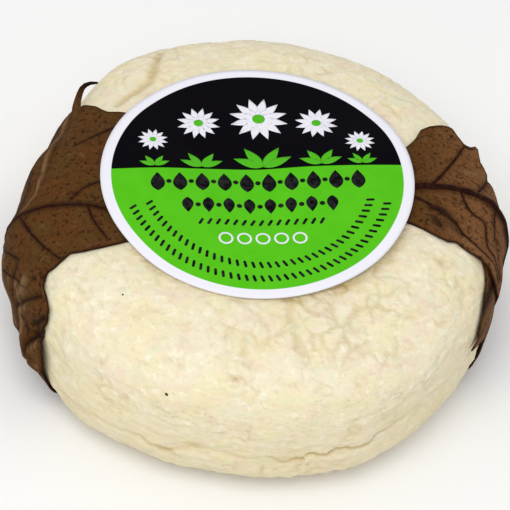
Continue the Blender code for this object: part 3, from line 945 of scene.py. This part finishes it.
def leaf_stand_off(angles, across):
    """How far the leaf stands off the cheese, its painted highlight with wear, and its painted
    shade.
    """
    place = leaf_points(angles, across)
    flat = place[:, :2]
    from_rib = across - table_at(MIDRIB, angles)
    free = between(angles, FREE_RIGHT) + between(angles, FREE_LEFT)
    slanted = (place[:, 0] - RIB_SLANT * np.abs(from_rib)) / TOOTH_PITCH * math.tau
    height = 0.10 * (1.0 + np.cos(slanted)) * smooth_step(0.0, 14.0, np.abs(from_rib))
    height += 0.3 * bell(from_rib, 1.5)
    height += 0.20 * noise_at(place * (1.0, 0.6, 1.0), 3.2, 31.0)
    height += 0.09 * noise_at(place, 1.5, 33.0)
    streaks = noise_at(place * (0.35, 1.0, 1.0), 1.1, 35.0)
    low_left = smooth_step(-14.0, -20.0, across) * smooth_step(194.0, 188.0, -angles)
    height += 0.22 * streaks * low_left * smooth_step(150.0, 160.0, -angles)
    # On the lower left the raised streaks get painted highlight with wear, and the sunk ones
    # painted shade
    worn = 0.5 * smooth_step(0.25, 0.5, streaks) * low_left
    dark = 0.7 * smooth_step(0.25, 0.5, -streaks) * low_left
    # Each fold adds its painted highlight with wear and its painted shade
    for fold_height, width, fold_wear_and_highlight, shade, line in LEAF_FOLDS:
        near = bell(distance_to_line(flat, flat_line(line)), width)
        height += fold_height * near
        worn = np.maximum(worn, fold_wear_and_highlight * near)
        dark = np.maximum(dark, shade * near)
    for angle, centre, spread_along, spread_across, lift in LEAF_LIFTS:
        height += lift * bell(angles - angle, spread_along) * bell(across - centre, spread_across)
    lobes = smooth_step(12.0, 19.0, across) * smooth_step(34.0, 26.0, angles)
    height += LOBE_LIFT * lobes * smooth_step(11.0, 16.0, angles)
    flap = smooth_step(-2.0, -8.5, across) * smooth_step(22.0, 17.0, angles)
    height += FLAP_LIFT * flap * smooth_step(2.0, 8.0, angles)
    return np.maximum(height, -0.1) * free, worn, dark


def leaf_face(tree, angles, across):
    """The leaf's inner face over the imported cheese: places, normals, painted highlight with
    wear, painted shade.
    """
    base, normals = cast(tree, *section_rays(angles, across))
    lift, worn, dark = leaf_stand_off(angles, across)
    return base + normals * (LEAF_CLEARANCE + lift)[:, None], normals, worn, dark


def build_leaf(settings):
    """The leaf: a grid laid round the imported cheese, with folds, teeth and veins."""
    leaf, grid = new_grid(round(LEAF_LENGTH / LEAF_CELL), 2 * LEAF_HALF_COLUMNS)
    angles = leaf_angle((grid[:, 0] + 1.0) / 2 * LEAF_LENGTH)
    side = grid[:, 1]
    midrib = table_at(MIDRIB, angles)
    front, back = leaf_edges(angles)
    edge = np.where(side < 0.0, front, back)
    across = midrib + np.abs(side) * (edge - midrib)
    tree = guide_tree("cheese", GUIDE_ROUNDING)
    places, _, worn, dark = leaf_face(tree, angles, across)
    move_to(leaf, places)
    from_edge = (1.0 - np.abs(side)) * np.abs(edge - midrib)
    flat = np.stack([leaf_distance(angles), across], axis=1)
    veins = 0.8 * bell(across - midrib, 0.75 + 0.4 * smooth_step(0.0, 15.0, angles))
    for _, _, line in list(LEAF_RIBS) + hidden_rib_lines():
        veins = np.maximum(veins, 0.7 * bell(distance_to_line(flat, flat_line(line)), 0.42))
    veins = np.maximum(veins, 0.85 * bell(from_edge, 0.35))
    set_attributes(
        leaf, vein=veins, worn=worn, shade=dark, russet=smooth_step(25.0, 39.0, places[:, 0]))
    thicken_leaf(leaf, settings)
    finish_piece(leaf, "leaf_blade", dry_leaf_material(settings), ["leaf"])


def build_lower_fold(settings):
    """The fold of the leaf that lies on the cheese under the right end's free edge."""
    fold, grid = new_grid(LOWER_ROWS, LOWER_COLUMNS)
    first, last = leaf_distance(np.array([LOWER_EDGE[0][0], LOWER_EDGE[-1][0]]))
    angles = leaf_angle(first + (grid[:, 0] + 1.0) / 2 * (last - first))
    front = table_at(LOWER_EDGE, angles)
    share = (grid[:, 1] + 1.0) / 2
    across = LOWER_BACK + share * (front - LOWER_BACK)
    tree = guide_tree("cheese", GUIDE_ROUNDING)
    base, normals = cast(tree, *section_rays(angles, across))
    place = np.stack([leaf_distance(angles), across, np.zeros(len(across))], axis=1)
    ripples = noise_at(place * (0.5, 1.0, 1.0), 1.6, 61.0)
    edge_lift = smooth_step(-11.0, -16.0, across) * smooth_step(1.0, 6.0, angles)
    height = LOWER_CLEARANCE + 0.14 * (1.0 + ripples) + 0.15 * edge_lift
    height += 0.5 * bell(angles - 3.0, 6.0) * bell(across + 12.0, 4.0)
    move_to(fold, base + normals * height[:, None])
    from_edge = (1.0 - share) * (LOWER_BACK - front)
    # Painted shadow in the gap under the blade's free edge, and painted shade in the sunk
    # ripples; the raised ripples get painted highlight with wear
    gap = bell(angles - 12.6, 2.2)
    set_attributes(
        fold, vein=0.6 * bell(from_edge, 0.4), worn=0.15 * smooth_step(0.1, 0.6, ripples),
        shade=np.maximum(0.9 * gap, 0.5 * smooth_step(0.1, 0.6, -ripples)),
        russet=0.8 + 0.0 * across)
    thicken_leaf(fold, settings)
    finish_piece(fold, "leaf_lower_fold", bpy.data.materials["dried_chestnut_leaf"])


def thicken_leaf(sheet, settings):
    """Give a leaf sheet its thickness on the side away from the cheese."""
    turn_outward(sheet)
    face = sheet.data.polygons[len(sheet.data.polygons) // 2]
    outward = face.normal.dot(face.center - Vector(CENTRE * MM)) > 0.0
    apply_modifier(
        sheet, "SOLIDIFY", thickness=settings.leaf_thickness, offset=1.0 if outward else -1.0)
    turn_outward(sheet)


def build_curled_tooth(settings):
    """The long tooth that stands up behind the left shoulder and curls to the right."""
    tooth, grid = new_grid(TOOTH_COLUMNS, TOOTH_ROWS)
    path = np.array(CURLED_TOOTH)
    lengths = line_lengths(path[:, :3])
    along = (grid[:, 1] + 1.0) / 2 * lengths[-1]
    middle = read_line(lengths, path, along)
    tangent = read_line(lengths, path, along + 0.4) - read_line(lengths, path, along - 0.4)
    aside = np.cross(tangent[:, :3], TOOTH_FACING)
    aside /= np.linalg.norm(aside, axis=1)[:, None]
    cup = 0.3 * middle[:, 3] * grid[:, 0] ** 2
    places = middle[:, :3] + aside * (grid[:, 0] * middle[:, 3])[:, None]
    places -= TOOTH_FACING * cup[:, None]
    move_to(tooth, places)
    # Painted shade, darker towards the curled end
    set_attributes(
        tooth, vein=0.7 * smooth_step(-0.6, 0.6, grid[:, 1]), worn=0.0 * along,
        shade=0.85 * smooth_step(0.0, 0.7, grid[:, 1]), russet=0.0 * along)
    thicken_leaf(tooth, settings)
    finish_piece(
        tooth, "leaf_curled_tooth", bpy.data.materials["dried_chestnut_leaf"])


# Ribs

def smooth_line(line, step):
    """Points along a smooth line of angle and place, a step apart."""
    rows = flat_line(line)
    lengths = line_lengths(rows)
    count = max(3, round(lengths[-1] / step) + 1)
    smooth = read_line(lengths, rows, np.linspace(0.0, lengths[-1], count))
    for _ in range(4):
        smooth[1:-1] = (smooth[:-2] + 2.0 * smooth[1:-1] + smooth[2:]) / 4
    return leaf_angle(smooth[:, 0]), smooth[:, 1]


def hidden_rib_lines():
    """Ribs that run from the midrib to the teeth where the photograph shows none."""
    lines = []
    first, last_front, last_back = leaf_distance(np.array(HIDDEN_RIBS))
    for table, last in ((FRONT_EDGE, last_front), (BACK_EDGE, last_back)):
        for place in np.arange(first, last, TOOTH_PITCH):
            angle = leaf_angle(np.array([place]))
            start = table_at(MIDRIB, angle)[0]
            end = table_at(table, angle)[0]
            line = []
            for share in np.linspace(0.0, 0.96, 7):
                reach = (end - start) * share
                moved = leaf_angle(np.array([place + RIB_SLANT * abs(reach)]))
                line.append((moved[0], start + reach))
            lines.append((0.3, 0.14, tuple(line)))
    return lines


def build_ribs(settings):
    """The midrib and side ribs: tapering round cords sunk into the leaf's outer face."""
    tree = guide_tree("cheese", GUIDE_ROUNDING)
    midrib_angles = np.linspace(*MIDRIB_SPAN)
    midrib = tuple(zip(midrib_angles, table_at(MIDRIB, midrib_angles)))
    curve = bpy.data.curves.new("leaf_ribs", "CURVE")
    curve.dimensions = "3D"
    curve.bevel_depth = settings.rib_scale * MM
    curve.bevel_resolution = 1
    curve.use_fill_caps = True
    ribs = [(MIDRIB_START, MIDRIB_END, midrib)] + list(LEAF_RIBS) + hidden_rib_lines()
    for start_radius, end_radius, line in ribs:
        angles, across = smooth_line(line, RIB_STEP)
        front, back = leaf_edges(angles)
        across = np.clip(across, front + RIB_INSET, back - RIB_INSET)
        places, normals, _, _ = leaf_face(tree, angles, across)
        places += normals * (settings.leaf_thickness / MM)
        radii = np.linspace(start_radius, end_radius, len(angles))
        radii *= 1.0 + 0.3 * noise_at(places, 1.6, 71.0)
        spline = curve.splines.new("POLY")
        spline.points.add(len(angles) - 1)
        for point, place, normal, radius in zip(spline.points, places, normals, radii):
            sunk = Vector(place) - Vector(normal) * (radius * RIB_SUNK)
            point.co = (*(sunk * MM), 1.0)
            point.radius = radius
    choose(add_object("leaf_ribs", curve))
    bpy.ops.object.convert(target="MESH")
    ribs_mesh = bpy.context.object
    turn_outward(ribs_mesh)
    finish_piece(ribs_mesh, "leaf_ribs", leaf_rib_material(settings))


# Label

def build_label(settings):
    """The round label: rings inset from a circle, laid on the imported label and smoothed."""
    deselect_all()
    bpy.ops.mesh.primitive_circle_add(
        vertices=LABEL_COLUMNS, radius=LABEL_RADIUS * MM, fill_type="NGON",
        location=(LABEL_CENTRE[0] * MM, LABEL_CENTRE[1] * MM, 0.0))
    label = bpy.context.object
    bpy.ops.object.transform_apply(location=True, rotation=False, scale=False)
    enter_edit(label)
    for _ in range(LABEL_RINGS - 1):
        bpy.ops.mesh.inset(thickness=LABEL_RADIUS / LABEL_RINGS * MM)
    bpy.ops.mesh.poke()
    leave_edit()
    flat = places_of(label)
    inner = flat.copy()
    inner[:, :2] = LABEL_CENTRE + (flat[:, :2] - LABEL_CENTRE) * 0.99
    flat[:, 2] = height_below(guide_tree("label", 0), inner)
    move_to(label, flat)
    enter_edit(label)
    bpy.ops.mesh.vertices_smooth(
        factor=0.5, repeat=LABEL_SMOOTHING, xaxis=False, yaxis=False, zaxis=True)
    leave_edit()
    turn_outward(label)
    upward = label.data.polygons[0].normal.z > 0.0
    apply_modifier(
        label, "SOLIDIFY", thickness=LABEL_PAPER * MM, offset=-1.0 if upward else 1.0)
    turn_outward(label)
    finish_piece(label, "label_disc", coated_label_material(settings), ["label"])


def outline_shape(name, outline, inset):
    """A flat shape from its outline in millimetres, with one inner ring and a middle."""
    deselect_all()
    bpy.ops.mesh.primitive_circle_add(vertices=len(outline), radius=1.0, fill_type="NGON")
    shape = bpy.context.object
    shape.name = name
    move_to(shape, np.array([(x, y, 0.0) for x, y in outline]))
    enter_edit(shape)
    bpy.ops.mesh.inset(thickness=inset * MM)
    bpy.ops.mesh.poke()
    leave_edit()
    return shape


def leaf_outline(length, width, count=12):
    """Outline of a pointed leaf that starts at the origin and points along X."""
    shares = np.linspace(0.0, 1.0, count)
    bulge = np.sin(np.pi * shares ** 0.8) * width / 2
    upper = [(length * share, rise) for share, rise in zip(shares, bulge)]
    lower = [(x, -y) for x, y in reversed(upper[1:-1])]
    return upper + lower


def bar_outline(length, width, count=6):
    """Outline of a round-ended bar, centred on the origin along X."""
    turns = np.linspace(-math.pi / 2, math.pi / 2, count)
    half = (length - width) / 2
    right = [(half + width / 2 * math.cos(turn), width / 2 * math.sin(turn)) for turn in turns]
    left = [(-x, -y) for x, y in right]
    return right + left


def ring_shape(name, radius, width, count):
    """A flat ring."""
    deselect_all()
    bpy.ops.mesh.primitive_circle_add(vertices=count, radius=radius * MM, fill_type="NOTHING")
    shape = bpy.context.object
    shape.name = name
    enter_edit(shape)
    bpy.ops.mesh.extrude_edges_move(TRANSFORM_OT_translate={"value": (0.0, 0.0, 0.0)})
    inner = (radius - width) / radius
    bpy.ops.transform.resize(value=(inner, inner, 1.0), center_override=(0.0, 0.0, 0.0))
    leave_edit()
    return shape


def put(shape, x, y, turn=0.0, size=1.0):
    """A copy of a shape at a place on the label, in the label's own axes."""
    copy = add_object(shape.name + "_copy", shape.data.copy())
    matrix = Matrix.Translation((x * MM, y * MM, 0.0))
    matrix = matrix @ Matrix.Rotation(math.radians(turn), 4, "Z")
    copy.data.transform(matrix @ Matrix.Diagonal((size, size, 1.0, 1.0)))
    return copy


def lay_ink(name, shapes, tree, material, height):
    """Join flat shapes, lay them on the label and give the ink its thickness."""
    deselect_all()
    for shape in shapes:
        shape.select_set(True)
    bpy.context.view_layer.objects.active = shapes[0]
    if len(shapes) > 1:
        bpy.ops.object.join()
    ink = bpy.context.object
    flat = places_of(ink)
    turn = math.radians(LABEL_TURN)
    placed = flat.copy()
    placed[:, 0] = flat[:, 0] * math.cos(turn) - flat[:, 1] * math.sin(turn) + LABEL_CENTRE[0]
    placed[:, 1] = flat[:, 0] * math.sin(turn) + flat[:, 1] * math.cos(turn) + LABEL_CENTRE[1]
    placed[:, 2] = height_below(tree, placed) + height
    move_to(ink, placed)
    turn_outward(ink)
    for polygon in ink.data.polygons:
        if polygon.normal.z < 0.0:
            polygon.flip()
    apply_modifier(ink, "SOLIDIFY", thickness=INK_THICKNESS * MM, offset=-1.0)
    finish_piece(ink, name, material)


def meadow_flowers(petal, stem_leaf, dot):
    """White blossoms on the dark field, with green leaves at their feet."""
    white = []
    green = []
    for x, y, size in BLOSSOMS:
        for turn in range(0, 360, 30):
            white.append(put(petal, x, y, turn + 15.0, size))
        green.append(put(dot, x, y, 0.0, size))
        for turn in (22.0, 56.0, 124.0, 158.0):
            green.append(put(stem_leaf, x, FIELD_SPLIT + 0.6, turn, size))
    return white, green


def row_places(count, pitch):
    """Places of the marks in a row about the middle."""
    return [-pitch * (count - 1) / 2 + column * pitch for column in range(count)]


def leaf_row(leaf, dot, count, pitch, foot, turn, size):
    """A row of leaves that point one way, with a dot between each two."""
    row = []
    rise = LOZENGE_LENGTH / 2 * size * math.sin(math.radians(turn))
    for column, x in enumerate(row_places(count, pitch), start=1):
        row.append(put(leaf, x, foot, turn, size))
        if column < count:
            row.append(put(dot, x + pitch / 2, foot + rise, 0.0, 0.5))
    return row


def build_ink(settings):
    """The label's printed shapes: blossoms above, rows and arcs of simple marks below."""
    tree = tree_of(bpy.data.objects["label_disc"])
    petal = outline_shape("petal", leaf_outline(4.4, 1.5), 0.25)
    stem_leaf = outline_shape("stem_leaf", leaf_outline(4.6, 1.6), 0.3)
    dot = outline_shape("dot", bar_outline(1.9, 1.89, 10), 0.3)
    lozenge = outline_shape("lozenge", leaf_outline(LOZENGE_LENGTH, 2.5), 0.5)
    dash = outline_shape("dash", bar_outline(1.5, 0.5), 0.12)
    ring = ring_shape("ring", 1.3, 0.35, 32)
    white, green = meadow_flowers(petal, stem_leaf, dot)
    black = leaf_row(lozenge, dot, 10, 3.9, -3.4, 90.0, 1.0)
    black += leaf_row(lozenge, dot, 8, 3.6, -5.0, -90.0, 0.8)
    black += [put(dash, x, -10.6, 60.0) for x in row_places(15, 1.5)]
    white += [put(ring, x, -14.2) for x in row_places(5, 3.2)]
    for radius, count in DASH_ARCS:
        for turn in np.linspace(*DASH_ARC_SPAN, count):
            x = radius * math.cos(math.radians(turn))
            y = radius * math.sin(math.radians(turn))
            black.append(put(dash, x, y, turn + 20.0))
    for shape in (petal, stem_leaf, dot, lozenge, dash, ring):
        remove_thing(shape)
    inks = (
        ("white", white, settings.paper_colour, INK_HEIGHT),
        ("green", green, settings.green_ink, 2 * INK_HEIGHT),
        ("black", black, settings.black_ink, INK_HEIGHT),
    )
    for name, shapes, colour, height in inks:
        material = ink_material(name + "_label_ink", colour)
        lay_ink("label_ink_" + name, shapes, tree, material, height)


# Studio

def camera_axes():
    """The camera's right, up and back directions, rolled as the photograph is."""
    lift = math.radians(CAMERA_ELEVATION)
    roll = math.radians(CAMERA_ROLL)
    back = Vector((0.0, -math.cos(lift), math.sin(lift)))
    right = Vector((1.0, 0.0, 0.0))
    up = back.cross(right)
    rolled_right = right * math.cos(roll) + up * math.sin(roll)
    return rolled_right, up * math.cos(roll) - right * math.sin(roll), back


def build_studio(settings):
    """Pale floor, soft light from all round and from above the camera, and the camera."""
    deselect_all()
    bpy.ops.mesh.primitive_plane_add(size=FLOOR_SIZE, location=(0.0, 0.0, -FLOOR_DROP * MM))
    floor = bpy.context.object
    floor.name = "studio_floor"
    bpy.ops.object.transform_apply(location=True, rotation=False, scale=False)
    floor.data.materials.append(floor_material(settings))
    world = bpy.data.worlds.new("soft_white_room")
    world.use_nodes = True
    room = world.node_tree.nodes["Background"]
    room.inputs["Color"].default_value = linear("#FFFFFF")
    room.inputs["Strength"].default_value = settings.room_light
    bpy.context.scene.world = world
    lamp = bpy.data.lights.new("front_softbox", "AREA")
    lamp.shape = "DISK"
    lamp.size = LAMP_SIZE
    lamp.energy = settings.lamp_power
    softbox = add_object("front_softbox", lamp)
    softbox.location = LAMP_PLACE
    aim = Vector(LAMP_AIM) - Vector(LAMP_PLACE)
    softbox.rotation_euler = aim.to_track_quat("-Z", "Y").to_euler()
    camera = bpy.data.cameras.new("photo_camera")
    camera.sensor_width = 36.0
    camera.lens = CAMERA_LENS
    camera.shift_x, camera.shift_y = CAMERA_SHIFT
    camera.clip_end = 20.0
    thing = add_object("photo_camera", camera)
    right, up, back = camera_axes()
    target = Vector((CENTRE[0] * MM, CENTRE[1] * MM, CAMERA_TARGET_HEIGHT * MM))
    pose = Matrix((right, up, back)).transposed().to_4x4()
    pose.translation = target + back * (CAMERA_DISTANCE * MM)
    thing.matrix_world = pose
    bpy.context.scene.camera = thing
    bpy.context.scene.view_settings.view_transform = "Standard"


# Settings, operators and panel

class RindSettings(bpy.types.PropertyGroup):
    """Colours and relief of the rind."""

    relief: FloatProperty(
        name="Relief", description="How strong the rind's fine relief is", default=1.0,
        min=0.0, max=2.0, subtype="FACTOR")
    rind_colour: colour_property("Rind", "Main ivory of the rind", "#E9DFC4")
    cream_colour: colour_property("Cream", "Yellower patches", "#E8DDB8")
    blush_colour: colour_property("Blush", "Pinkish patches", "#E7D5BE")
    green_colour: colour_property("Green", "Faint greenish patches", "#DFDFBE")
    chalk_colour: colour_property("Chalk", "Pale dry spots", "#F6F0DD")
    grain_colour: colour_property("Grain", "Shade between the curd's grains", "#D0C29A")
    # Painted shade towards the foot
    foot_shade_colour: colour_property("Foot", "Warmer tint towards the foot", "#D8C79A")
    # Painted shade in the creases and hollows, and painted shadow beside the label
    painted_shade_colour: colour_property("Crease", "Tan of the creases", "#B89D62")


class LeafSettings(bpy.types.PropertyGroup):
    """Colours and thickness of the leaf."""

    leaf_thickness: FloatProperty(
        name="Leaf thickness", description="Thickness of the dry blade", default=0.28 * MM,
        min=0.0, unit="LENGTH", subtype="DISTANCE", precision=5)
    rib_scale: FloatProperty(
        name="Rib scale", description="Size of the ribs over their real thickness",
        default=1.0, min=0.2, max=2.0, subtype="FACTOR")
    leaf_colour: colour_property("Leaf", "Main brown of the blade", "#593919")
    olive_colour: colour_property("Olive", "Olive patches", "#563C1B")
    red_colour: colour_property("Red", "Red-brown patches", "#5D3518")
    russet_colour: colour_property("Russet", "Warmer brown of the right end", "#7D5534")
    pale_colour: colour_property("Pale", "Pale dry spots", "#6E5034")
    dark_colour: colour_property("Dark", "Dark flecks", "#3B220F")
    # Painted highlight with rubbed wear on the raised folds
    worn_colour: colour_property("Worn", "Rubbed folds", "#8E7052")
    rib_colour: colour_property("Ribs", "Dark of the ribs and edges", "#220C06")


class LabelSettings(bpy.types.PropertyGroup):
    """Colours of the label."""

    paper_colour: colour_property("Paper", "White of the bare paper", "#E9E8F1")
    green_ink: colour_property("Green ink", "Lower field", "#4DB614")
    green_ink_light: colour_property("Light green ink", "Where the green is thin", "#5AC31F")
    black_ink: colour_property("Black ink", "Upper field", "#050308")


class StudioSettings(bpy.types.PropertyGroup):
    """Light and floor."""

    room_light: FloatProperty(
        name="Room light", description="Strength of the light from all round", default=0.645,
        min=0.0, max=5.0)
    lamp_power: FloatProperty(
        name="Lamp power", description="Power of the soft lamp", default=5.8, min=0.0,
        unit="POWER")
    floor_colour: colour_property("Floor", "Colour of the floor", "#F3F3F3")


class CHEESE_OT_rind(bpy.types.Operator):
    """Build the cheese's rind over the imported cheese"""

    bl_idname = "goat_cheese.rind"
    bl_label = "Rind"

    def execute(self, context):
        build_rind(context.scene.goat_cheese_rind)
        return {"FINISHED"}


class CHEESE_OT_leaf(bpy.types.Operator):
    """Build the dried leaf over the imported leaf"""

    bl_idname = "goat_cheese.leaf"
    bl_label = "Leaf"

    def execute(self, context):
        build_leaf(context.scene.goat_cheese_leaf)
        build_lower_fold(context.scene.goat_cheese_leaf)
        build_curled_tooth(context.scene.goat_cheese_leaf)
        return {"FINISHED"}


class CHEESE_OT_ribs(bpy.types.Operator):
    """Lay the ribs on the leaf"""

    bl_idname = "goat_cheese.ribs"
    bl_label = "Leaf ribs"

    def execute(self, context):
        build_ribs(context.scene.goat_cheese_leaf)
        return {"FINISHED"}


class CHEESE_OT_label(bpy.types.Operator):
    """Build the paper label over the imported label"""

    bl_idname = "goat_cheese.label"
    bl_label = "Label"

    def execute(self, context):
        build_label(context.scene.goat_cheese_label)
        return {"FINISHED"}


class CHEESE_OT_ink(bpy.types.Operator):
    """Lay the printed shapes on the label"""

    bl_idname = "goat_cheese.ink"
    bl_label = "Label ink"

    def execute(self, context):
        build_ink(context.scene.goat_cheese_label)
        return {"FINISHED"}


class CHEESE_OT_studio(bpy.types.Operator):
    """Set up the floor, the light and the camera"""

    bl_idname = "goat_cheese.studio"
    bl_label = "Studio"

    def execute(self, context):
        build_studio(context.scene.goat_cheese_studio)
        return {"FINISHED"}


class CHEESE_PT_panel(bpy.types.Panel):
    """Lists the pieces and their settings"""

    bl_idname = "CHEESE_PT_panel"
    bl_label = "Goat Cheese"
    bl_space_type = "VIEW_3D"
    bl_region_type = "UI"
    bl_category = "Goat Cheese"

    def draw(self, context):
        for name, group, operators in PANEL_ROWS:
            box = self.layout.box()
            box.label(text=name)
            settings = getattr(context.scene, group)
            for entry in settings.__annotations__:
                box.prop(settings, entry)
            for operator in operators:
                box.operator(operator.bl_idname)


PANEL_ROWS = (
    ("Rind", "goat_cheese_rind", (CHEESE_OT_rind,)),
    ("Leaf", "goat_cheese_leaf", (CHEESE_OT_leaf, CHEESE_OT_ribs)),
    ("Label", "goat_cheese_label", (CHEESE_OT_label, CHEESE_OT_ink)),
    ("Studio", "goat_cheese_studio", (CHEESE_OT_studio,)),
)
GROUPS = (
    ("goat_cheese_rind", RindSettings),
    ("goat_cheese_leaf", LeafSettings),
    ("goat_cheese_label", LabelSettings),
    ("goat_cheese_studio", StudioSettings),
)
CLASSES = (
    RindSettings,
    LeafSettings,
    LabelSettings,
    StudioSettings,
    CHEESE_OT_rind,
    CHEESE_OT_leaf,
    CHEESE_OT_ribs,
    CHEESE_OT_label,
    CHEESE_OT_ink,
    CHEESE_OT_studio,
    CHEESE_PT_panel,
)


def register():
    """Register the classes and attach the settings to the scene."""
    for entry in CLASSES:
        bpy.utils.register_class(entry)
    for name, group in GROUPS:
        setattr(bpy.types.Scene, name, PointerProperty(type=group))


def unregister():
    """Detach the settings and remove the classes."""
    for name, _ in GROUPS:
        delattr(bpy.types.Scene, name)
    for entry in reversed(CLASSES):
        bpy.utils.unregister_class(entry)


def main():
    """Build every piece in order."""
    register()
    bpy.ops.goat_cheese.rind()
    bpy.ops.goat_cheese.leaf()
    bpy.ops.goat_cheese.ribs()
    bpy.ops.goat_cheese.label()
    bpy.ops.goat_cheese.ink()
    bpy.ops.goat_cheese.studio()


if __name__ == "__main__":
    main()
